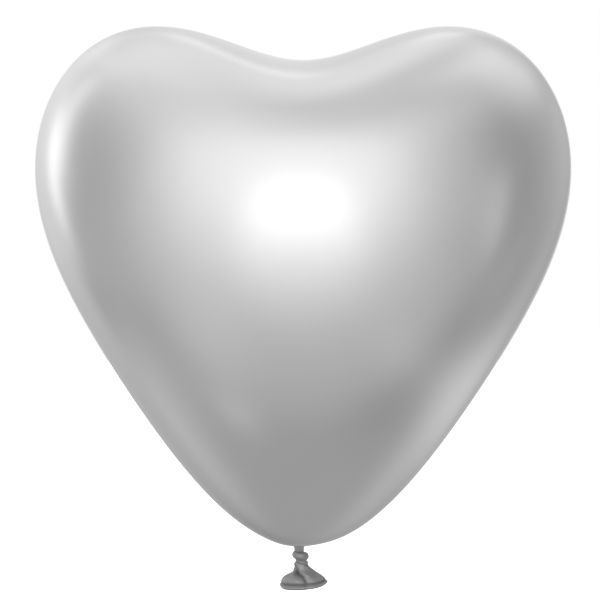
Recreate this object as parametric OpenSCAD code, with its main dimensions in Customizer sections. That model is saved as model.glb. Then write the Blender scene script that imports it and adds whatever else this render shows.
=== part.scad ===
// Heart-shaped party balloon, inflated and tied.
// The origin is the middle of the throat, the groove between the bag and its knot where a ribbon
// or a clip holds it. +Z runs up through the cleft, -Y is the front. All sizes are in millimetres.
// The balloon is one piece of dipped film. Its regions are drawn as separate solids where they
// differ in form or move against each other: the bag leans on the collar, the collar on the throat,
// and the loose tail swings below the knot. Every moving seat is a pair of spheres with one centre.

/* [Bag] */
// Width across both lobes
heart_width = 300.5; // [220:0.5:360]
// Height from the bag's lowest point to the tops of the lobes
heart_height = 291.5; // [220:0.5:350]
// Thickness of the inflated bag from front to back
heart_depth = 186; // [130:1:230]
// Depth of the cleft below the tops of the lobes
cleft_depth = 19; // [10:1:32]
// Height of the bag's lowest point above the middle of the throat
bag_rise = 1.5; // [1.2:0.1:3]
// Sideways offset of the bag from the throat
bag_shift = 2.3; // [-5:0.1:5]
// Wall of the bag
film = 0.2; // [0.15:0.05:0.5]

/* [Throat] */
// Radius of the bunched neck in the throat groove
throat_r = 2.45; // [2:0.05:2.8]
// Radius of the bunched neck where the knot squeezes it
core_r = 1.7; // [1.3:0.05:1.9]
// Radius of the ball at the top of the throat, on which the collar leans
ball_r = 2.6; // [2.5:0.05:2.9]
// Height of the bag's leaning centre above the middle of the throat
lean_z = 1.2; // [1:0.1:1.6]

/* [Collar] */
// Outer radius of the gathered collar
collar_r = 5; // [4.4:0.1:6]
// Radius of one gathered pleat
pleat_r = 0.35; // [0.2:0.05:0.45]
// Number of pleats round the collar
pleats = 14; // [8:1:18]

/* [Knot] */
// Half the width of the wound turn of the knot
turn_r = 4.63; // [4:0.01:5.5]
// Sideways offset of the wound turn
turn_shift = 0.77; // [-1:0.01:1]
// Height of the wound turn at its thick side
turn_h = 4.6; // [3.6:0.1:5.6]
// Height of the wound turn at its thin side
turn_thin = 2.9; // [2:0.1:4]
// Height of the top of the wound turn
turn_top = -1.5; // [-2:0.1:-1.3]
// How far the lower ring, where the end of the neck is pulled through, stands out past the bunch
tuck_lip = 0.65; // [0.4:0.05:1.2]
// Sideways offset of the lower ring and of the tail
tuck_shift = 1; // [-1.2:0.1:1.2]
// Height of the lower ring, from the turn down to the bunch
tuck_h = 3.3; // [2.9:0.1:3.8]

/* [Tail] */
// Radius of the gathered bunch below the knot
bunch_r = 3.2; // [2.8:0.05:3.9]
// Depth of the centre about which the tail swings, below the lower ring
swing_drop = 1.6; // [1.4:0.1:2]
// Width of the flared mouth of the tail
mouth_w = 24.2; // [18:0.1:30]
// Thickness of the mouth from front to back
mouth_d = 17; // [12:0.1:22]
// Sideways offset of the mouth from the bunch
mouth_shift = 1.6; // [-3:0.1:3]
// Height of the tail, from the centre about which it swings to the mouth's side edges
tail_h = 7.6; // [6.5:0.1:9]
// How far the front edge of the mouth hangs below the side edges
mouth_drop = 3.4; // [0:0.1:5]
// How early the tail flares, where 1 is a straight cone
flare = 2.6; // [1:0.1:3]
// Depth of the three folds at the mouth
fold = 1.2; // [0:0.1:2]
// Wall of the tail
tail_wall = 0.5; // [0.3:0.05:0.6]
// Radius of the rolled bead round the mouth
lip_r = 0.7; // [0.5:0.05:1]

/* [Hidden] */
$fn = 64;

// clearances between moving seats, and how far the squeezed turns of the knot press into each other
seat_gap = 0.15;
squeeze = 0.08;
bite = 0.45;
// how far inside the bunch's radius the round belly of the lower ring is centred
belly_in = 0.8;

// the knot and the tail hang below each other: turn, lower ring, swing centre, mouth
turn_z = turn_top - turn_h / 2;
tuck_top = turn_top - turn_h;
tuck_low = tuck_top - tuck_h;
tuck_r = bunch_r + tuck_lip;
swing_z = tuck_low - swing_drop;
mouth_z = swing_z - tail_h;

// numbers of points on the curved surfaces
bag_rows = 38;
bag_cols = 48;
ring_cols = 48;
tube_cols = 16;
mouth_rows = 12;

// the bag is a unit ball (u to the right, v to the back, w up) with its width tapered by a cubic in
// w, and with its sides lifted by u squared, which leaves the cleft between the lobes. The lift
// fades towards the front and back, the bag swells towards the shoulders so that its top is
// round from the side as well, and the lobes are a little slimmer than the middle
taper = [1, 0.042, -0.238, -0.141];
lift = [1, 0.293, 0.859];
lift_fade = 0.3;
swell = [0.99, 0.1, 0.25, 0.25];
lobe_slim = [0.1, 0.1];
ball_step = 0.002;
// distance over which the bag's sideways offset sets in, outside its hole
settle = 12;

// the polynomial with coefficients c at w
function poly(c, w, i = 0) = i == len(c) ? 0 : c[i] + w * poly(c, w, i + 1);
// widest point of the tapered ball
wide = max([for (a = [-30 : 0.5 : 60]) cos(a) * poly(taper, sin(a))]);
half_mid = (heart_height - cleft_depth) / 2;
// top of the outline for a given lift of the sides, and the lift that gives the stated height
function top_of(h) =
    max([for (a = [20 : 0.5 : 90]) half_mid * (1 + sin(a)) + h * cos(a) ^ 2 * poly(lift, sin(a))]);
function find_lift(lo, hi, n) =
    n == 0 ? (lo + hi) / 2
    : top_of((lo + hi) / 2) < heart_height ? find_lift((lo + hi) / 2, hi, n - 1)
    : find_lift(lo, (lo + hi) / 2, n - 1);
side_lift = find_lift(0, heart_height, 20);

// the radii of the bag's foot along x and y, per unit of u and v
foot_x = heart_width / 2 / wide * poly(taper, -1);
foot_y = heart_depth / 2 * poly(swell, -1);

// the bag ends in a round hole that runs on the collar with seat_gap all round
seat_r = collar_r + seat_gap;
hole_r = sqrt(seat_r ^ 2 - (bag_rise + 0.25 - lean_z) ^ 2);

// where a point of the unit ball comes to lie on the bag
function bag_point(p) =
    let (u = p[0], v = p[1], w = p[2],
         past = max(0, norm([foot_x * u, foot_y * v]) - hole_r),
         moved = w < 0 ? 1 - exp(-(past / settle) ^ 2) : 1)
    [heart_width / 2 / wide * u * poly(taper, w) + bag_shift * moved,
     heart_depth / 2 * v * poly(swell, w) * (1 - u * u * poly(lobe_slim, w)),
     bag_rise + half_mid * (1 + w) + side_lift * u * u * poly(lift, w) * (1 - lift_fade * v * v)];
// the ball's own point and its two tangents at an angle t up from the foot and s round the axis
function on_ball(t, s) = [sin(t) * cos(s), sin(t) * sin(s), -cos(t)];
function up_ball(t, s) = [cos(t) * cos(s), cos(t) * sin(s), sin(t)];
function round_ball(s) = [-sin(s), cos(s), 0];
function slope(p, d) = bag_point(p + d * ball_step) - bag_point(p - d * ball_step);
function unit(v) = v / norm(v);
function outward(t, s) =
    unit(cross(slope(on_ball(t, s), round_ball(s)), slope(on_ball(t, s), up_ball(t, s))));
// the bag's surface, set in by a depth
function bag_at(t, s, inset) = bag_point(on_ball(t, s)) - inset * outward(t, s);

// the hole's edge in ball angles, and the angles of row i and column j
function hole_angle(s) = asin(hole_r / norm([foot_x * cos(s), foot_y * sin(s)]));
function row_angle(i, s) = hole_angle(s) + (180 - hole_angle(s)) * i / bag_rows;
function col_angle(j) = 360 * j / bag_cols;

// faces between two rings of n points that start at a and b
function band(a, b, n) =
    [for (j = [0 : n - 1]) let (k = (j + 1) % n) each [[a + j, b + j, b + k], [a + j, b + k, a + k]]];
// faces from a ring of n points that starts at a to one point
function fan(a, tip, n) = [for (j = [0 : n - 1]) [a + j, tip, a + (j + 1) % n]];
function fan_back(a, tip, n) = [for (j = [0 : n - 1]) [a + j, a + (j + 1) % n, tip]];
function flip(faces) = [for (f = faces) [f[2], f[1], f[0]]];

// a closed tube through rings of points, the last joined to the first
module loop_of(rings) {
    n = len(rings[0]);
    m = len(rings);
    polyhedron(points = [for (r = rings) each r],
               faces = [for (i = [0 : m - 1]) each band(n * i, n * ((i + 1) % m), n)],
               convexity = 6);
}

// a sector of a ring in the half plane, between two radii and two angles up from straight down
module sector(r_in, r_out, low, high) {
    steps = 10;
    polygon([for (i = [0 : steps]) let (a = low + (high - low) * i / steps) r_out * [sin(a), -cos(a)],
             for (i = [steps : -1 : 0]) let (a = low + (high - low) * i / steps) r_in * [sin(a), -cos(a)]]);
}

module heart_skin() {
    outer = [for (i = [0 : bag_rows - 1], j = [0 : bag_cols - 1])
             bag_at(row_angle(i, col_angle(j)), col_angle(j), 0)];
    inner = [for (i = [0 : bag_rows - 1], j = [0 : bag_cols - 1])
             bag_at(row_angle(i, col_angle(j)), col_angle(j), film)];
    n = bag_cols;
    shell = n * bag_rows;
    top = 2 * shell;
    poles = [bag_at(180, 0, 0), bag_at(180, 0, film)];
    color("gainsboro")
    polyhedron(points = concat(outer, inner, poles),
               faces = concat(
                   flip([for (i = [0 : bag_rows - 2]) each band(n * i, n * (i + 1), n)]),
                   flip(fan(shell - n, top, n)),
                   [for (i = [0 : bag_rows - 2]) each band(shell + n * i, shell + n * (i + 1), n)],
                   fan(top - n, top + 1, n),
                   band(0, shell, n)),
               convexity = 4);
}

module gather_collar() {
    color("silver")
    translate([0, 0, lean_z]) {
        rotate_extrude() sector(ball_r + seat_gap, collar_r, 95, 140);
        for (i = [0 : pleats - 1])
            rotate([0, 85, 360 * i / pleats])
                translate([0, 0, ball_r + 0.6])
                    cylinder(r = pleat_r, h = collar_r - ball_r - 1, $fn = 8);
    }
}

module throat() {
    color("dimgray")
    union() {
        translate([0, 0, lean_z]) sphere(r = ball_r);
        translate([0, 0, turn_top - 0.1])
            cylinder(r = throat_r, h = lean_z - turn_top + 0.1);
        translate([0, 0, tuck_top - squeeze])
            cylinder(r = core_r, h = turn_h + squeeze);
    }
}

// the turn is thick on the right, where the neck crosses itself, and thin on the left
module knot_turn() {
    inner = core_r - squeeze;
    color("darkgray")
    loop_of([for (j = [0 : ring_cols - 1])
        let (a = -360 * j / ring_cols,
             out = turn_r + turn_shift * cos(a),
             mid = (out + inner) / 2,
             tall = (turn_h + turn_thin) / 4 + (turn_h - turn_thin) / 4 * cos(a - 20),
             up = 0.25 * cos(a + 150))
        [for (k = [0 : tube_cols - 1])
            let (b = 360 * k / tube_cols,
                 r = mid + (out - inner) / 2 * cos(b))
            [r * cos(a), r * sin(a), turn_z + up + tall * sin(b)]]]);
}

module knot_tuck() {
    socket = bunch_r + seat_gap;
    edge = tuck_low - swing_z;
    crown = (tuck_top + tuck_low) / 2;
    tall = (tuck_top - tuck_low) / 2;
    belly = tuck_lip + belly_in;
    low_r = sqrt(socket ^ 2 - edge ^ 2);
    color("gray")
    translate([tuck_shift, 0, 0])
    rotate_extrude()
    polygon(concat(
        [[0, tuck_top]],
        [for (a = [90 : -10 : -60]) [tuck_r - belly + belly * cos(a), crown + tall * sin(a)]],
        [[low_r + 0.2, tuck_low]],
        [for (i = [0 : 8]) let (a = acos(-edge / socket) + (180 - acos(-edge / socket)) * i / 8)
            [socket * sin(a), swing_z - socket * cos(a)]]));
}

module tail_bunch() {
    color("gray")
    translate([tuck_shift, 0, swing_z])
    difference() {
        sphere(r = bunch_r);
        for (i = [0 : 9])
            rotate([0, 0, 36 * i + 8])
                translate([bunch_r + 0.1, 0, -bunch_r])
                    cylinder(r = 0.4, h = 2 * bunch_r, $fn = 12);
    }
}

// the tail runs from a small ring below the bunch to the wide mouth; f goes from 0 to 1 down it
seat_angle = 60;
tail_top_r = (bunch_r + seat_gap) * sin(seat_angle);
tail_top_z = swing_z - (bunch_r + seat_gap) * cos(seat_angle);
function tail_point(f, a, out) =
    let (open = 1 - (1 - f) ^ flare,
         r_x = tail_top_r + (mouth_w / 2 - tail_top_r) * open,
         r_y = tail_top_r + (mouth_d / 2 - tail_top_r) * open,
         ripple = -fold * f * f * sin(3 * a),
         front = -sin(a),
         hang = mouth_drop * (front > 0 ? front ^ 2 : -0.35 * front ^ 2))
    [tuck_shift + mouth_shift * f + (r_x + ripple + out) * cos(a),
     (r_y + ripple + out) * sin(a),
     tail_top_z + (mouth_z - tail_top_z) * f - hang * f * f];

module tail_skirt() {
    rows = mouth_rows;
    color("darkgray")
    loop_of([for (j = [0 : ring_cols - 1])
        let (a = 360 * j / ring_cols)
        concat([for (i = [0 : rows]) tail_point(i / rows, a, tail_wall)],
               [for (i = [rows : -1 : 0]) tail_point(i / rows, a, 0)])]);
}

module rolled_lip() {
    color("silver")
    loop_of([for (j = [0 : ring_cols - 1])
        let (a = 360 * j / ring_cols,
             c = tail_point(1, a, tail_wall / 2),
             side = [cos(a), sin(a), 0])
        [for (k = [0 : tube_cols - 1])
            let (b = 360 * k / tube_cols)
            c + [0, 0, bite - lip_r] + lip_r * (cos(b) * side + sin(b) * [0, 0, -1])]]);
}

heart_skin();
gather_collar();
throat();
knot_turn();
knot_tuck();
tail_bunch();
tail_skirt();
rolled_lip();
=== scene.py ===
# %% [markdown]
# # A tied heart balloon in mirror latex
#
# The balloon is one dipped skin of rubber. Air has blown most of it up into a heart, a knot has
# been tied in its neck, and the end that the air never reached hangs below the knot as a small
# skirt with a rolled lip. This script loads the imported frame, and then gives each of those
# regions its real shape and finish. Everything is in metres, in the frame's own coordinates:
# the origin is the groove above the knot, +Z runs up through the cleft and -Y is the front.

# %% Load the frame
import math

import bpy
import numpy as np
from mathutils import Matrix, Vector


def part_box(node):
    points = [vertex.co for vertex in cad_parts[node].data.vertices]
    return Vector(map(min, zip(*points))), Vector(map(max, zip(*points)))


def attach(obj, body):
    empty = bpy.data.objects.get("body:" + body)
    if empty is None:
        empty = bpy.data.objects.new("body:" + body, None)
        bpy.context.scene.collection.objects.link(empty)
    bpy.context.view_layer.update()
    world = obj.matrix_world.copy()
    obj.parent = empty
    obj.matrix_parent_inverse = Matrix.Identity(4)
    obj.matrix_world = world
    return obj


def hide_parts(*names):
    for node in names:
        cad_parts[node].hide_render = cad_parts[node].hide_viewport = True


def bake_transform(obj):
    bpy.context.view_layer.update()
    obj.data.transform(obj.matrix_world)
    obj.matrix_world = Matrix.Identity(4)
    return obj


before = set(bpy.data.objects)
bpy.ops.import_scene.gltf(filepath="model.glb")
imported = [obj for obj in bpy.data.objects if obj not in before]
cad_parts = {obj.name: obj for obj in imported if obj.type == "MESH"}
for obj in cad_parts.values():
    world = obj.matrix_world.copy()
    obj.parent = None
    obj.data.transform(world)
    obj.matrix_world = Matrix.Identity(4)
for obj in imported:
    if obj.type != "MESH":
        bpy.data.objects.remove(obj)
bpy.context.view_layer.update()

MM = 0.001
for node_name in sorted(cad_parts):
    low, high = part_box(node_name)
    print(f"{node_name}: z from {low.z / MM:.1f} to {high.z / MM:.1f} mm")

# %% [markdown]
# ## The camera
#
# The balloon is seen from the front through a long lens, so that its outline is the true one
# and the two lobes don't bulge towards the viewer. The lens length follows from two sizes: how
# wide a field should be seen at the balloon, and how far away the camera stands.

# %% Camera
FIELD_WIDTH = 336.4 * MM                  # width of what is seen, at the balloon
FIELD_CENTRE = (0.5 * MM, 139.9 * MM)     # x and z
CAMERA_DISTANCE = 2.5                     # metres

lens = bpy.data.cameras.new("front_camera")
lens.lens = lens.sensor_width * CAMERA_DISTANCE / FIELD_WIDTH
camera = bpy.data.objects.new("front_camera", lens)
camera.location = (FIELD_CENTRE[0], -CAMERA_DISTANCE, FIELD_CENTRE[1])
camera.rotation_euler = (math.radians(90), 0, 0)
bpy.context.scene.collection.objects.link(camera)
bpy.context.scene.camera = camera
bpy.context.scene.view_settings.view_transform = "Standard"
print(f"lens {lens.lens:.0f} mm at {CAMERA_DISTANCE} m")

# %% [markdown]
# ## Writing node maths as Python
#
# A shader is a net of small nodes. Wiring them by hand hides the formula, so this class wraps
# one output of a node and gives it Python's own arithmetic: `1 - mask * 0.2` adds a Multiply
# and a Subtract node. Anything that isn't arithmetic goes through `node`.


# %% Wires that know arithmetic
class Wire:
    """One output of a node, on which + - * / > and abs() add the Math nodes they need."""

    def __init__(self, tree, socket):
        self.tree, self.socket = tree, socket

    def maths(self, operation, a, b=None):
        sockets = {0: a} if b is None else {0: a, 1: b}
        return node(self.tree, "ShaderNodeMath", {"operation": operation}, sockets)

    def __add__(self, other):
        return self.maths("ADD", self, other)

    def __sub__(self, other):
        return self.maths("SUBTRACT", self, other)

    def __rsub__(self, other):
        return self.maths("SUBTRACT", other, self)

    def __mul__(self, other):
        return self.maths("MULTIPLY", self, other)

    def __truediv__(self, other):
        return self.maths("DIVIDE", self, other)

    def __gt__(self, other):
        return self.maths("GREATER_THAN", self, other)

    def __abs__(self):
        return self.maths("ABSOLUTE", self)

    __radd__ = __add__
    __rmul__ = __mul__

    def at_least(self, floor_value):
        return self.maths("MAXIMUM", self, floor_value)

    def dot(self, direction):
        return node(self.tree, "ShaderNodeVectorMath", {"operation": "DOT_PRODUCT"},
                    {0: self, 1: direction}, output="Value")

    def step(self, start, end, low=0.0, high=1.0):
        """low before start, high after end, and a smooth S between; start may be the larger."""
        return node(self.tree, "ShaderNodeMapRange", {"interpolation_type": "SMOOTHSTEP"},
                    {"Value": self, "From Min": start, "From Max": end,
                     "To Min": low, "To Max": high}, output="Result")


def node(tree, kind, settings=None, sockets=None, output=0):
    """Adds a node of that kind: its settings first, then a value or a wire into each socket."""
    made = tree.nodes.new(kind)
    for name, value in (settings or {}).items():
        setattr(made, name, value)
    for name, value in (sockets or {}).items():
        if isinstance(value, Wire):
            tree.links.new(value.socket, made.inputs[name])
        else:
            made.inputs[name].default_value = value
    return Wire(tree, made.outputs[output])


# %% [markdown]
# ## The studio
#
# Mirror latex has no colour of its own: what is seen on it is the room. A studio for such a
# thing is a grey room with a few soft boxes, each a pale rectangle with feathered edges. They
# are far larger and further off than the balloon, so they are drawn straight into the world, by
# direction: where they stand (degrees to the right of the camera's side, and up), half their
# width and height, how soft their edges are, and how bright they are. Overhead and underfoot the
# room glows faintly by itself. Only reflections see the room. The camera itself sees plain white
# behind the balloon.

# %% Soft boxes
CEILING_GLOW, FLOOR_GLOW = 0.240, 0.419     # brightness overhead and underfoot
CEILING_SETS_IN, FLOOR_SETS_IN = (-0.45, 0.45), (0, -0.9)     # between these sines of the height
LEAST_AHEAD = 0.02       # cosine below which a direction counts as behind a soft box
SOFT_BOXES = {
    # name: (to the right, up, half width, half height, softness, brightness)
    "key": (-3.8, 23.3, 40.5, 18.1, 8.8, 0.47),
    "below the key": (-1.0, 6.0, 20.4, 1.0, 9.2, 3.09),
    "left strip": (-95.3, 26.3, 3.4, 17.0, 1.5, 0.92),
    "edge of left strip": (-105.5, 8.6, 3.3, 13.5, 10.7, 1.85),
    "left ceiling": (-133.2, 71.8, 30.8, 17.3, 14.1, 0.30),
    "front ceiling": (-63.7, 81.1, 28.0, 47.6, 12.5, 0.20),
    "right ceiling": (89.6, 84.7, 48.5, 47.7, 14.8, 0.24),
    "right patch": (96.6, 48.4, 15.9, 18.5, 5.8, 0.28),
    "right haze": (68.8, -11.7, 19.9, 5.5, 15.7, 0.41),
    "left rear": (-150.8, 15.1, 47.1, 36.5, 22.7, 0.52),
    "right rear": (130.3, 1.1, 38.2, 37.8, 56.0, 0.61),
    "low rear": (178.2, 3.8, 17.8, 8.4, 2.1, 0.61),
    "low right": (93.3, -33.5, 60.0, 2.7, 8.2, 0.47),
    "low left": (-117.7, -33.0, 25.3, 7.9, 28.3, 0.54),
    "low left haze": (-62.7, -17.2, 29.5, 16.7, 27.2, 0.37),
    "front": (2.5, 12.2, 54.0, 44.0, 40.2, 0.48),
    "left fill": (-104.2, 20.1, 54.5, 34.8, 3.9, 0.18),
    "high rear strip": (173.2, 51.5, 6.0, 1.0, 3.4, 1.96),
    "low spot": (-38.3, -41.4, 8.6, 2.4, 4.8, 0.53),
    "thin right strip": (65.6, 6.2, 0.8, 9.4, 1.6, 3.08),
}


def soft_box(direction, right, up, half_width, half_height, softness, brightness):
    """brightness x edge(x) x edge(y), where x and y are how far a direction lies to the side of
    the box and above it, as tangents, and an edge falls from 1 to 0 over twice the softness."""
    right, up = math.radians(right), math.radians(up)
    facing = (math.sin(right) * math.cos(up), -math.cos(right) * math.cos(up), math.sin(up))
    sideways = (math.cos(right), math.sin(right), 0)
    upwards = (-math.sin(right) * math.sin(up), math.cos(right) * math.sin(up), math.cos(up))
    soft = math.tan(math.radians(softness))
    ahead = direction.dot(facing)
    light = (ahead > LEAST_AHEAD) * brightness
    for axis, half in ((sideways, half_width), (upwards, half_height)):
        half = math.tan(math.radians(half))
        offset = abs(direction.dot(axis)) / ahead.at_least(LEAST_AHEAD)
        light = light * offset.step(half + soft, half - soft)
    return light


world = bpy.data.worlds.new("studio")
world.use_nodes = True
world.node_tree.nodes.clear()
room = world.node_tree
direction = node(room, "ShaderNodeTexCoord", output="Generated")
height = direction.dot((0, 0, 1))
room_glow = (height.step(*CEILING_SETS_IN, 0, CEILING_GLOW)
             + height.step(*FLOOR_SETS_IN, 0, FLOOR_GLOW))
glow = sum((soft_box(direction, *box) for box in SOFT_BOXES.values()), room_glow)
seen_in_mirror = node(room, "ShaderNodeBackground", {}, {"Color": glow})
seen_by_camera = node(room, "ShaderNodeBackground", {}, {"Color": (1, 1, 1, 1)})
is_camera = node(room, "ShaderNodeLightPath", output="Is Camera Ray")
both = node(room, "ShaderNodeMixShader", {}, {0: is_camera, 1: seen_in_mirror, 2: seen_by_camera})
room_out = room.nodes.new("ShaderNodeOutputWorld")
room.links.new(both.socket, room_out.inputs["Surface"])
bpy.context.scene.world = world
print(f"{len(SOFT_BOXES)} soft boxes, ceiling {CEILING_GLOW}, floor {FLOOR_GLOW}")

# %% [markdown]
# ## The floor
#
# A plain white floor, a few centimetres below the balloon, which glows a little so that it runs
# into the white behind it without a horizon. It keeps a faint shadow under the balloon. Mirrors
# don't see it, because its place in the reflections is taken by the grey of the room.

# %% Floor
FLOOR_Z = -60 * MM
FLOOR_HALF = 12.0        # metres
FLOOR_TONE, FLOOR_LIGHT = 0.9, 0.75

floor_mesh = bpy.data.meshes.new("floor")
floor_mesh.from_pydata([(-FLOOR_HALF, -FLOOR_HALF, FLOOR_Z), (FLOOR_HALF, -FLOOR_HALF, FLOOR_Z),
                        (FLOOR_HALF, FLOOR_HALF, FLOOR_Z), (-FLOOR_HALF, FLOOR_HALF, FLOOR_Z)],
                       [], [(0, 1, 2, 3)])
floor = bpy.data.objects.new("floor", floor_mesh)
floor.visible_glossy = False
bpy.context.scene.collection.objects.link(floor)

floor_paint = bpy.data.materials.new("floor_paint")
floor_paint.use_nodes = True
paint = floor_paint.node_tree.nodes["Principled BSDF"]
paint.inputs["Base Color"].default_value = (FLOOR_TONE, FLOOR_TONE, FLOOR_TONE, 1)
paint.inputs["Roughness"].default_value = 0.9
paint.inputs["Specular IOR Level"].default_value = 0.0
paint.inputs["Emission Color"].default_value = (1, 1, 1, 1)
paint.inputs["Emission Strength"].default_value = FLOOR_LIGHT
floor_mesh.materials.append(floor_paint)
print(f"floor {2 * FLOOR_HALF:.0f} m wide at z {FLOOR_Z / MM:.0f} mm")

# %% [markdown]
# ## Skins from rings
#
# Every piece of this balloon is a skin that closes round on itself in one direction and runs
# from end to end in the other: a stack of rings. The shapes below are all formulas for such a
# stack, worked out as whole arrays, and this one function turns a stack into a mesh. Each end
# is closed with a fan, so that no skin has a hole in it. Every skin also carries a number for
# each of its points, which says how much shade is painted into its colour there: in creases and
# folds, under the knot, on the tail's sides, under the lip and where the bag meets the neck.
# A mirror of this size shows too little shade there.


# %% Rings to mesh
SHARP_FROM = 62          # degrees between faces from which an edge is shown sharp


def smooth_line(xs, ys, at):
    """The cubic through the points (xs, ys) that at each has the slope between its neighbours."""
    xs, ys, at = np.asarray(xs, float), np.asarray(ys, float), np.asarray(at, float)
    slopes = np.gradient(ys, xs)
    i = np.clip(np.searchsorted(xs, at) - 1, 0, len(xs) - 2)
    gap = xs[i + 1] - xs[i]
    t = np.clip((at - xs[i]) / gap, 0, 1)
    return (ys[i] * (1 + 2 * t) * (1 - t) ** 2 + ys[i + 1] * t ** 2 * (3 - 2 * t)
            + gap * (slopes[i] * t * (1 - t) ** 2 - slopes[i + 1] * t ** 2 * (1 - t)))


def soft_step(low, high, at):
    """0 below low, 1 above high, and 3t^2 - 2t^3 between."""
    t = np.clip((at - low) / (high - low), 0, 1)
    return t * t * (3 - 2 * t)


def skin_from_rings(name, rings, closed_along=False, crease=0.0):
    """Joins rings[i, j] to rings[i + 1, j] and rings[i, j + 1]. rings is in millimetres.

    Rings run anticlockwise seen from the end that the rows climb away from, which turns the
    faces outwards. The first and last ring get a fan, unless the skin closes along as well.
    crease says for each point how much painted shade it gets, from 0 to 1, for the finish to read.
    """
    rows, cols = rings.shape[:2]
    i = np.arange(rows if closed_along else rows - 1)[:, None]
    j = np.arange(cols)[None, :]
    up, on = (i + 1) % rows, (j + 1) % cols
    here, above = i * cols, up * cols
    quads = np.stack(np.broadcast_arrays(here + j, here + on, above + on, above + j),
                     axis=-1).reshape(-1, 4)
    points = rings.reshape(-1, 3) * MM
    faces = quads.tolist()
    if not closed_along:
        ends = rings[[0, -1]].mean(axis=1) * MM
        points = np.vstack([points, ends])
        first, last = np.arange(cols), (rows - 1) * cols + np.arange(cols)
        foot, top = rows * cols, rows * cols + 1
        faces += np.stack([first, np.full(cols, foot), np.roll(first, -1)], -1).tolist()
        faces += np.stack([last, np.roll(last, -1), np.full(cols, top)], -1).tolist()
    mesh = bpy.data.meshes.new(name)
    mesh.from_pydata(points.tolist(), [], faces)
    # painted shade: each point's share of darkening is stored on the mesh for the finish to read
    shade_values = np.zeros(len(points), dtype=np.float32)
    shade_values[:rows * cols] = np.broadcast_to(np.clip(crease, 0, 1), (rows, cols)).ravel()
    mesh.attributes.new("crease", "FLOAT", "POINT").data.foreach_set("value", shade_values)
    mesh.shade_smooth()
    mesh.set_sharp_from_angle(angle=math.radians(SHARP_FROM))
    piece = bpy.data.objects.new(name, mesh)
    bpy.context.scene.collection.objects.link(piece)
    size = (points.max(0) - points.min(0)) / MM
    print(f"{name}: {len(faces)} faces, {size[0]:.1f} x {size[1]:.1f} x {size[2]:.1f} mm")
    return piece


# %% [markdown]
# ## The heart
#
# The blown-up bag could be sculpted, or pressed out of a flat heart by a cloth simulation. A
# formula is better here, because mirror latex shows every dent: the surface has to be smooth to
# its second derivative. It is a unit ball (u to the right, v to the back, w up). Its width is
# tapered towards the foot by a cubic in w, and its sides are lifted by u squared, which leaves
# the cleft between the lobes. It swells towards the shoulders, so that its top is round from the
# side as well. These are the same numbers as in the frame.

# %% Numbers of the bag
HEART_WIDTH, HEART_HEIGHT, HEART_DEPTH, CLEFT_DEPTH = 300.5, 291.5, 186.0, 19.0
BAG_RISE, BAG_SHIFT = 1.5, 2.3      # how far the bag stands above the origin, and to its right
TAPER = (1, 0.042, -0.238, -0.141)
LIFT, LIFT_FADE = (1, 0.293, 0.859), 0.3
SWELL, LOBE_SLIM = (0.99, 0.1, 0.25, 0.25), (0.1, 0.1)
HOLE_R, SETTLE = 5.12, 12.0         # radius of the throat, and distance for the shift to set in


def polynomial(coefficients, w):
    """c0 + c1 w + c2 w^2 + ..."""
    return sum(c * w ** power for power, c in enumerate(coefficients))


slant = np.radians(np.arange(-30, 60.25, 0.5))
WIDE = (np.cos(slant) * polynomial(TAPER, np.sin(slant))).max()
HALF_MID = (HEART_HEIGHT - CLEFT_DEPTH) / 2
FOOT_X = HEART_WIDTH / 2 / WIDE * polynomial(TAPER, -1)
FOOT_Y = HEART_DEPTH / 2 * polynomial(SWELL, -1)


def lobe_top(side_lift):
    """The highest of half height x (1 + sin a) + side_lift x cos(a)^2 x lift(sin a), where a is
    the slope on the unit ball at which the outline is read."""
    rise = np.radians(np.arange(20, 90.25, 0.5))
    return (HALF_MID * (1 + np.sin(rise))
            + side_lift * np.cos(rise) ** 2 * polynomial(LIFT, np.sin(rise))).max()


lifts = np.linspace(0, HEART_HEIGHT, 20001)
SIDE_LIFT = float(np.interp(HEART_HEIGHT, [lobe_top(h) for h in lifts[::200]], lifts[::200]))
print(f"sides lifted by {SIDE_LIFT:.1f} mm, foot radii {FOOT_X:.1f} and {FOOT_Y:.1f} mm")


# %% Bag formula
def bag_point(u, v, w):
    """x = half width x u x taper(w) + shift, y = half depth x v x swell(w) x (1 - u^2 slim(w)),
    z = rise + half height x (1 + w) + side lift x u^2 lift(w) x (1 - fade x v^2). The shift sets
    in over the first millimetres outside the throat."""
    past = np.maximum(0, np.hypot(FOOT_X * u, FOOT_Y * v) - HOLE_R)
    moved = np.where(w < 0, 1 - np.exp(-(past / SETTLE) ** 2), 1)
    x = HEART_WIDTH / 2 / WIDE * u * polynomial(TAPER, w) + BAG_SHIFT * moved
    y = HEART_DEPTH / 2 * v * polynomial(SWELL, w) * (1 - u * u * polynomial(LOBE_SLIM, w))
    z = (BAG_RISE + HALF_MID * (1 + w)
         + SIDE_LIFT * u * u * polynomial(LIFT, w) * (1 - LIFT_FADE * v * v))
    return np.stack([x, y, z], axis=-1)


# %% [markdown]
# ## Gathers
#
# Where the neck is tied, the film is bunched into fine pleats that run up into the bag and fade
# within a few millimetres. Three cosines of different counts never quite repeat round the neck,
# which looks hand-tied, where one alone would look like a cog.


# %% Gathers round the neck
def gathers(turn, counts=(17, 26, 39), phases=(0.4, 2.1, 4.0), shares=(0.5, 0.32, 0.18)):
    """The sum of share x cos(count x turn + phase): between -1 and 1, and 0 on average."""
    return sum(s * np.cos(n * turn + p) for n, p, s in zip(counts, phases, shares))


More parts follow.
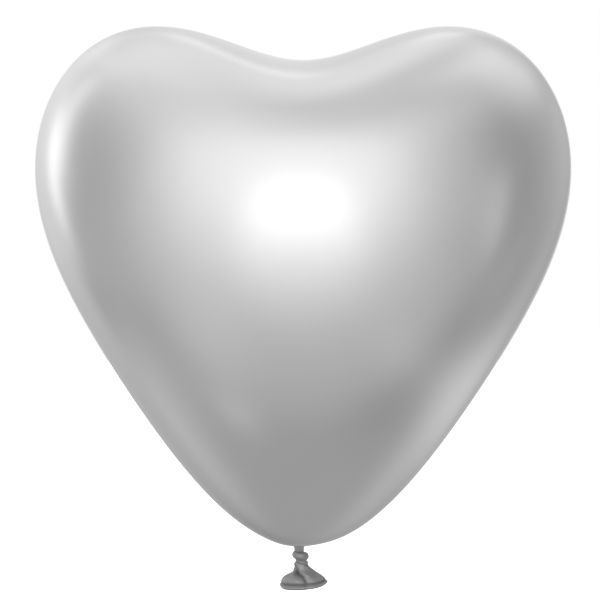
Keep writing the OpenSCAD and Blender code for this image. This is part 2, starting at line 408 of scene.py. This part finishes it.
NECK_R = 2.6           # radius of the tied neck
FUNNEL_R = 3.6         # radius at which the neck has opened into the underside of the bag
FUNNEL_Z = 0.25        # height at which it starts to open
GATHER_DEPTH = 0.17    # height of the pleats at the neck
GATHER_FADE = 3.5      # distance over which they die away
GATHERS_END = 60       # height above which there are none, near the cleft
SLACK_FADE = 0.8       # distance over which the film goes from slack to taut
CROWDING = 1.25        # more than 1 crowds the bag's rings towards the neck
LAST_RING = 0.9985     # share of the way from the neck to the cleft at which the rings end


def heart_film_rings(cols=352, funnel_rows=14, bag_rows=200):
    """A quarter-ellipse funnel from the neck to the bag's underside, then the bag's own formula
    from there to the cleft, with the gathers added along the outward direction:
    depth x exp(-(distance from the neck) / fade). Returns the rings, and how far the colour is
    darkened near the neck, which is exp(-(distance from the neck) / slack fade): partly the
    slack film's own duller tone, partly painted shade where the bag meets the neck."""
    round_ball = np.linspace(0, 2 * np.pi, cols, endpoint=False)[None, :]
    reach = np.hypot(FOOT_X * np.cos(round_ball), FOOT_Y * np.sin(round_ball))
    start = np.arcsin(FUNNEL_R / reach)
    climb = start + (np.pi - start) * np.linspace(0, LAST_RING, bag_rows)[:, None] ** CROWDING
    bag = bag_point(np.sin(climb) * np.cos(round_ball), np.sin(climb) * np.sin(round_ball),
                    -np.cos(climb))
    edge = bag[0]
    edge_r = np.hypot(edge[:, 0], edge[:, 1])
    bend = np.linspace(0, np.pi / 2, funnel_rows, endpoint=False)[:, None]
    radius = NECK_R + (edge_r - NECK_R) * (1 - np.cos(bend))
    funnel = np.stack([radius * edge[:, 0] / edge_r, radius * edge[:, 1] / edge_r,
                       FUNNEL_Z + (edge[:, 2] - FUNNEL_Z) * np.sin(bend)], axis=-1)
    rings = np.vstack([funnel, bag])
    out_r = np.hypot(rings[..., 0], rings[..., 1])
    height = (GATHER_DEPTH * np.exp(-(out_r - NECK_R) / GATHER_FADE)
              * gathers(np.arctan2(rings[..., 1], rings[..., 0])))
    lean = np.vstack([np.cos(bend), np.zeros((bag_rows, 1))])
    height[rings[..., 2] > GATHERS_END] = 0
    rings[..., 0] += height * lean * rings[..., 0] / out_r
    rings[..., 1] += height * lean * rings[..., 1] / out_r
    rings[..., 2] -= height * np.sqrt(1 - lean ** 2)
    # darker near the neck: partly the slack film's own tone, partly painted shade where the bag
    # meets the neck
    slack = np.where(rings[..., 2] < GATHERS_END, np.exp(-(out_r - NECK_R) / SLACK_FADE), 0)
    return rings, slack


heart_shape, heart_slack_shade = heart_film_rings()
heart_film = skin_from_rings("heart_film", heart_shape, crease=heart_slack_shade)
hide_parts("heart_skin")
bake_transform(heart_film)

# %% [markdown]
# ## The neck
#
# Between the bag and the knot the film is bunched into a stalk hardly five millimetres thick.
# It is a tube whose radius follows a short waist, with the same gathers as the bag, twisted a
# little by the tying.

# %% Neck
NECK_WAIST = ((-2.8, 2.2), (-2.0, 2.64), (-1.2, 2.62), (-0.5, 2.58), (0.1, 2.56), (0.5, 2.35),
              (1.1, 2.0))          # height and radius
NECK_TWIST = 0.16                  # radians of twist for each millimetre


def neck_rings(cols=144, rows=40):
    """Rings of radius waist(z) + depth x gathers(turn + twist x z)."""
    heights, radii = np.array(NECK_WAIST).T
    z = np.linspace(heights[0], heights[-1], rows)[:, None]
    turn = np.linspace(0, 2 * np.pi, cols, endpoint=False)[None, :]
    radius = smooth_line(heights, radii, z) + GATHER_DEPTH * gathers(turn + NECK_TWIST * z)
    return np.stack(np.broadcast_arrays(radius * np.cos(turn), radius * np.sin(turn), z), axis=-1)


neck_film = skin_from_rings("neck_film", neck_rings())
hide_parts("throat", "gather_collar")
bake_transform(neck_film)

# %% [markdown]
# ## The knot
#
# The neck is wound once round itself and its end pulled through. From outside that is two
# strands, each a flattened tube that runs round the neck and dives inwards at both of its ends:
# a thick upper turn that is blunt on the right and pinched on the left, and below it a thinner
# one that leans down to the right, out of which the tail comes. Each could be swept along a curve
# by hand. A formula keeps the number of its turns and where its ends dive in one place. A strand
# is a cross-section carried round the neck, and its film has a few creases that follow it.


# %% Wound strands
STRAND_COLS = 56
END_SHARE = 0.10         # share of a strand's length over which each end dives inwards
END_NARROWS = 0.45       # share by which its middle line draws in there


def strand_rings(start, sweep, shift, outer, inner, middle, half_height, pitch, creases,
                 crease_depth, bluntness, undercut, rows=220, cols=STRAND_COLS):
    """At the angle a round the neck, an ellipse between the radii inner and outer(a), middle(a)
    high, which sinks by pitch from end to end. Its top and its foot are drawn in by undercut, as
    the square of the way there. Creases take crease_depth x (1 - |sin|)^3 off its size, where
    the angle goes round the strand and turns slowly along it. Both ends shrink to nothing."""
    along = np.linspace(0, 1, rows)[:, None]
    a = np.radians(start + sweep * along)
    b = np.linspace(0, 2 * np.pi, cols, endpoint=False)[None, :]
    just = 0.0005            # keeps the first and last ring from shrinking to a point
    ends = np.sqrt(soft_step(0, END_SHARE, along + just)
                   * soft_step(0, END_SHARE, 1 + just - along))
    half_width = (outer(a) - inner) / 2
    crease = 1 - crease_depth * (1 - np.abs(np.sin(creases / 2 * (b + 0.5 * a) + 0.4))) ** 3
    crease = crease + 0.012 * np.sin(7 * a + 3 * b) + 0.01 * np.sin(13 * a - 2 * b + 1)
    blunt = bluntness(a)
    side = np.sign(np.cos(b)) * np.abs(np.cos(b)) ** blunt
    radius = (inner + half_width * (1 - END_NARROWS * (1 - ends))
              + half_width * side * crease * ends)
    top, foot = undercut
    radius = radius - top * ((1 + np.sin(b)) / 2) ** 2 - foot * ((1 - np.sin(b)) / 2) ** 2
    z = (middle(a) + pitch * (0.5 - along) + half_height(a) * np.sin(b) * crease * ends)
    return np.stack(np.broadcast_arrays(shift + radius * np.cos(a), radius * np.sin(a), z), axis=-1)


section = np.linspace(0, 2 * np.pi, STRAND_COLS, endpoint=False)[None, :]
# painted shade: the underside of each strand, where it presses on what is below, is darkened
strand_foot_shade = soft_step(0.45, 1.0, -np.sin(section))     # 1 where a strand presses on what is below

knot_loop = skin_from_rings("knot_loop", strand_rings(
    start=118, sweep=388, shift=0.0, inner=1.4, pitch=0.6, creases=5, crease_depth=0.08,
    outer=lambda a: 5.05 + 0.75 * np.cos(a),
    middle=lambda a: -3.62 - 0.38 * np.cos(a),
    half_height=lambda a: 2.42 + 0.10 * np.cos(a),
    bluntness=lambda a: 0.98 - 0.20 * np.cos(a), undercut=(0.7, 0.7)),
    crease=0.3 * strand_foot_shade)
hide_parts("knot_turn")
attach(knot_loop, "knot")

tuck_loop = skin_from_rings("tuck_loop", strand_rings(
    start=-37, sweep=424, shift=1.0, inner=0.9, pitch=0.5, creases=4, crease_depth=0.10,
    outer=lambda a: 3.75 + 0.45 * np.cos(a),
    middle=lambda a: -7.00 - 0.95 * np.cos(a),
    half_height=lambda a: 1.15 + 0.35 * np.cos(a),
    bluntness=lambda a: 0.9 + 0 * a, undercut=(0.2, 0.3)),
    crease=strand_foot_shade)
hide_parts("knot_tuck")
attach(tuck_loop, "knot")

# %% [markdown]
# ## The tail
#
# The end of the neck comes out of the lower ring as a tight bunch and opens into a skirt, whose
# right side flares straight from the knot while its left side hangs straight down first and
# then turns out over a shoulder. A deep fold runs across the front from the upper left to the
# middle of the mouth, and two lesser ones run down the back. A cloth simulation would fold it
# too, but not along these lines. So the outline is three lines against depth, and the folds are
# valleys pressed into it.

# %% Tail outline and folds
TAIL_LINE = np.array([
    # depth below the origin, left edge, right edge, half the distance from front to back
    (4.8, -1.6, 3.8, 2.5), (5.9, -1.7, 3.9, 2.6), (6.9, -1.8, 3.9, 2.6), (7.4, -2.4, 4.3, 2.8),
    (7.9, -2.8, 4.7, 3.0), (8.5, -2.9, 4.95, 3.2), (9.1, -2.7, 5.2, 3.3), (9.8, -2.6, 5.95, 3.4),
    (10.6, -2.7, 6.9, 3.55), (11.4, -2.9, 8.0, 3.85), (12.2, -3.6, 9.1, 4.4),
    (12.9, -4.9, 10.2, 5.0), (13.6, -6.7, 11.25, 5.7), (14.3, -8.2, 12.3, 6.3),
    (15.3, -9.35, 13.65, 7.2), (16.4, -10.05, 14.7, 7.9), (17.4, -10.2, 15.1, 8.2),
    (18.3, -10.1, 15.15, 8.4)])
TAIL_TOP, TAIL_OPENS, TAIL_SEAM, TAIL_MOUTH = 4.8, 8.0, 12.0, 18.3    # depths below the origin
FRONT_DROP, LEFT_DROP = 2.6, 1.6         # how far the mouth dips at the front and the left
BACK_RISE = 1.1                          # how far it rises at the back
TAIL_MIDDLE, MOUTH_SHIFT = 1, 1.6        # x of the middle, and how far it has moved at the mouth
TAIL_GATHERS = 0.10                      # depth of the gathers under the knot
# UNDER_KNOT and UNDER_LEAN place only painted shade: a darker band of colour under the knot
UNDER_KNOT, UNDER_LEAN = 8.0, 1.4        # depth of the crease under the knot, and how it leans
LIP_GROOVE, LIP_GROOVE_IN = 17.2, 0.6    # where the groove above the lip is, and how far pressed
RIDGE_SHARE = 0.15                       # height of the ridges beside a fold, of the fold's depth
RIDGE_AT, RIDGE_WIDTH = 3.2, 1.8         # how far from the fold's line they run, and their width
DEEPEST_FOLD = 0.62                      # largest share of the radius that folds may take
FOLD_PATHS = (
    # depths below the origin, angles round the tail there, depth of the fold, width of it
    ((8.3, 9.8, 10.7, 11.7, 12.6, 13.4, 14.1, 15.0, 17.0, 18.3),
     (204, 211, 221, 232, 244, 259, 269, 274, 278, 279), 1.7, 0.8),
    ((8.3, 12.0, 15.0, 18.3), (70, 62, 66, 74), 1.5, 1.1),
    ((8.3, 12.0, 15.0, 18.3), (128, 135, 138, 134), 1.2, 1.2),
)


def tail_wall(depth, turn):
    """x = middle + (left or right reach) cos a, y = half depth sin a, z = -depth - dip(a), where
    the dip grows as the square of the way down. Each fold then pulls the wall towards the axis by
    fold x exp(-(distance from its line) / width), and raises a low ridge on both sides of it.
    Returns the wall, and how much painted shade each point gets, from 0 to 1: on the tail's left
    and right sides, under the knot, along the folds and in the groove above the lip."""
    left, right, deep = (smooth_line(TAIL_LINE[:, 0], TAIL_LINE[:, k], depth) for k in (1, 2, 3))
    down = np.clip((depth - TAIL_OPENS) / (TAIL_MOUTH - TAIL_OPENS), 0, 1)
    middle = TAIL_MIDDLE + MOUTH_SHIFT * down
    across, back = np.cos(turn), np.sin(turn)
    reach = np.where(across > 0, right - middle, middle - left)
    x, y = reach * across, deep * back
    radius = np.hypot(x, y)
    inwards = TAIL_GATHERS * (1 - down) ** 2 * gathers(turn + 0.1 * depth, (11, 17, 25))
    # painted shade from here on: darker on the tail's left and right sides, under the knot, along
    # each fold and in the groove above the lip
    crease = 0.55 * soft_step(0.90, 1.0, np.abs(across)) + 0 * depth
    under_knot = depth - UNDER_KNOT - UNDER_LEAN * across
    crease = np.maximum(crease, 0.85 * np.exp(-(under_knot / 0.55) ** 2))
    for depths, angles, fold, width in FOLD_PATHS:
        line = np.radians(smooth_line(depths, angles, depth))
        apart = np.abs((turn - line + np.pi) % (2 * np.pi) - np.pi) * radius
        strength = soft_step(7.8, 12.5, depth) * (1 - 0.45 * soft_step(14.5, 18.3, depth))
        inwards = inwards + fold * strength * np.exp(-(np.sqrt(apart ** 2 + 0.05) - 0.22) / width)
        inwards = inwards - RIDGE_SHARE * fold * strength * np.exp(
            -((apart - RIDGE_AT) / RIDGE_WIDTH) ** 2)
        spread = 0.55 + 1.1 * (soft_step(9.5, 12.0, depth) - soft_step(12.6, 15.0, depth))
        shown = soft_step(7.4, 9.0, depth) * (1 - soft_step(17.0, 18.3, depth))
        crease = np.maximum(crease, shown * np.exp(-(apart / spread) ** 2))
    groove = np.exp(-((depth - LIP_GROOVE) / 0.55) ** 2) * (0.1 + 0.9 * back ** 2)
    inwards = inwards + LIP_GROOVE_IN * groove
    crease = np.maximum(crease, 0.9 * np.exp(-((depth - LIP_GROOVE + 0.1) / 0.8) ** 2))
    scale = 1 - np.minimum(inwards, DEEPEST_FOLD * radius) / radius
    roundness = 0.55 + 0.40 * across
    dip_front = np.where(back < 0, FRONT_DROP * (1 + roundness) * back ** 2
                         / (back ** 2 + roundness), -BACK_RISE * back ** 2)
    dip = (dip_front + LEFT_DROP * (1 - across) / 2) * down ** 2
    wall = np.stack(np.broadcast_arrays(middle + x * scale, y * scale, -depth - dip), axis=-1)
    return wall, crease


def outward_of(rings):
    """The cross product of the step round the ring and the step along, divided by its length."""
    round_ring = np.roll(rings, -1, axis=1) - np.roll(rings, 1, axis=1)
    along = np.gradient(rings, axis=0)
    normal = np.cross(round_ring, along)
    return normal / np.linalg.norm(normal, axis=-1, keepdims=True)


# %% Bunch and skirt
TAIL_COLS = 288
FILM_WALL = 0.4          # thickness of the skirt's film, which the air never stretched
BUNCH_OVERLAP = 0.7      # how far the bunch runs on inside the skirt
BUNCH_NARROWS = 0.08     # share by which it narrows there
INNER_SHORT = 8          # rows by which the inner wall stops short of the seam
turn = np.linspace(2 * np.pi, 0, TAIL_COLS, endpoint=False)[None, :]

bunch_end = TAIL_SEAM + BUNCH_OVERLAP
bunch_depth = np.linspace(TAIL_TOP, bunch_end, 70)[:, None]
# the second value from tail_wall is painted shade, for the finish to darken the colour
bunch_rings, bunch_shade = tail_wall(bunch_depth, turn)
bunch_middle = np.array([1.7, 0])
narrowed = 1 - BUNCH_NARROWS * soft_step(TAIL_SEAM, bunch_end, bunch_depth)[..., None]
bunch_rings[..., :2] = bunch_middle + (bunch_rings[..., :2] - bunch_middle) * narrowed
tail_bunch_film = skin_from_rings("tail_bunch_film", bunch_rings,
                                  crease=bunch_shade)
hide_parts("tail_bunch")
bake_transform(tail_bunch_film)

skirt_depth = np.linspace(TAIL_SEAM, TAIL_MOUTH, 110)[:, None]
outside, skirt_shade = tail_wall(skirt_depth, turn)
inside = outside - FILM_WALL * outward_of(outside)
both_walls = np.vstack([outside, inside[::-1][:-INNER_SHORT]])
both_shades = np.vstack([skirt_shade, skirt_shade[::-1][:-INNER_SHORT]])
tail_skirt_film = skin_from_rings("tail_skirt_film", both_walls,
                                  crease=both_shades)
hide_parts("tail_skirt")
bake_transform(tail_skirt_film)

# %% [markdown]
# ## The rolled lip
#
# A balloon's mouth is rolled up into a bead while the latex is still soft. It is a round
# section carried along the edge of the skirt, with a groove that winds slowly round it where
# the last turn of the roll ends, and it is never quite the same thickness all the way.

# %% Lip
LIP_R = 0.86
LIP_ABOVE_EDGE = 0.12    # height of the bead's middle above the skirt's edge


def lip_rings(cols=40, rows=TAIL_COLS):
    """Round the mouth, circles of radius r(a) x (1 - two grooves) about the edge of the skirt, in
    the plane of the outward direction and the vertical. Returns them, and how far each point
    faces down, from 0 to 1, because no light reaches the underside."""
    a = turn.reshape(-1, 1)
    edge = tail_wall(np.full((1, 1), TAIL_MOUTH), turn)[0][0]
    b = np.linspace(0, 2 * np.pi, cols, endpoint=False)[None, :]
    groove_at = 2.6 + 0.5 * np.sin(2 * a + 0.7)
    off = (b - groove_at + np.pi) % (2 * np.pi) - np.pi
    second = (b - groove_at + 2.2 + np.pi) % (2 * np.pi) - np.pi
    radius = (LIP_R * (1 + 0.05 * np.sin(3 * a + 1) + 0.03 * np.sin(7 * a))
              * (1 - 0.12 * np.exp(-(off / 0.16) ** 2) - 0.04 * np.exp(-(second / 0.2) ** 2)))
    side = np.stack([np.cos(a), np.sin(a), 0 * a], axis=-1)
    lift = np.array([0, 0, 1.0])
    centre = edge[:, None, :] + np.array([0, 0, LIP_ABOVE_EDGE])
    rings = centre + radius[..., None] * (np.cos(b)[..., None] * side
                                          - np.sin(b)[..., None] * lift)
    return rings, np.broadcast_to(soft_step(0.0, 0.75, np.sin(b)), rings.shape[:2])


# painted shade: the lip's underside is darkened in its colour
lip_shape, lip_underside_shade = lip_rings()
lip_bead = skin_from_rings("lip_bead", lip_shape, closed_along=True,
                           crease=lip_underside_shade)
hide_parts("rolled_lip")
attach(lip_bead, "tail")

# %% [markdown]
# ## Mirror latex
#
# The finish is a metallic pigment in rubber: a soft mirror, much blurrier than chrome plate.
# Stretched over the bag it is even and bright. In the neck, the knot and the tail the film is
# slack and thick, so it is duller and darker, and shade is painted darker still into its creases
# and hollows, as well as on the bag near the neck. The bag reflects the room but not the knot,
# whose dark image would otherwise spread over its foot.


# %% Finishes
def latex(name, tone, tone_change, roughness, roughness_change, grain_size, grain_height,
          cloud_size, crease_shade_tone):
    """Base Color = tone with slow clouds, darkened further where the skin's crease number paints
    shade into it. Roughness = roughness with the same clouds. Bump = very fine grain. The clouds
    and the grain read Object coordinates, in metres, and the painted shade reads the skin's own
    crease number."""
    material = bpy.data.materials.new(name)
    material.use_nodes = True
    tree = material.node_tree
    shader = tree.nodes["Principled BSDF"]
    place = node(tree, "ShaderNodeTexCoord", output="Object")
    clouds = node(tree, "ShaderNodeTexNoise", {},
                  {"Vector": place, "Scale": 1 / cloud_size, "Detail": 3.0}, output="Fac")
    specks = node(tree, "ShaderNodeTexNoise", {},
                  {"Vector": place, "Scale": 1 / grain_size, "Detail": 2.0}, output="Fac")
    value = tone + tone_change * (clouds - 0.5) + 0.3 * tone_change * (specks - 0.5)
    # painted shade: the colour is darkened by the skin's crease number
    crease = node(tree, "ShaderNodeAttribute", {"attribute_name": "crease"}, output="Fac")
    value = value * (1 - (1 - crease_shade_tone) * crease)
    grey = node(tree, "ShaderNodeCombineColor", {}, {"Red": value, "Green": value, "Blue": value})
    rough = roughness + roughness_change * (clouds - 0.5) + 0.5 * roughness_change * (specks - 0.5)
    bump = node(tree, "ShaderNodeBump", {}, {"Height": specks, "Strength": 1.0,
                                            "Distance": grain_height})
    tree.links.new(grey.socket, shader.inputs["Base Color"])
    tree.links.new(rough.socket, shader.inputs["Roughness"])
    tree.links.new(bump.socket, shader.inputs["Normal"])
    shader.inputs["Metallic"].default_value = 1.0
    print(f"{name}: tone {tone}, roughness {roughness}")
    return material


bag_finish = latex("mirror_latex_bag", tone=0.78, tone_change=0.03, roughness=0.30,
                   roughness_change=0.03, grain_size=0.9 * MM, grain_height=0.002 * MM,
                   cloud_size=45 * MM, crease_shade_tone=0.62)
slack_finish = latex("mirror_latex_slack", tone=0.46, tone_change=0.06, roughness=0.58,
                     roughness_change=0.08, grain_size=0.35 * MM, grain_height=0.006 * MM,
                     cloud_size=4 * MM, crease_shade_tone=0.48)
heart_film.data.materials.append(bag_finish)
for piece in (neck_film, knot_loop, tuck_loop, tail_bunch_film, tail_skirt_film, lip_bead):
    piece.data.materials.append(slack_finish)
    piece.visible_glossy = False     # keeps the knot's dark reflection off the foot of the bag

# %% [markdown]
# ## The end


print("scene built")
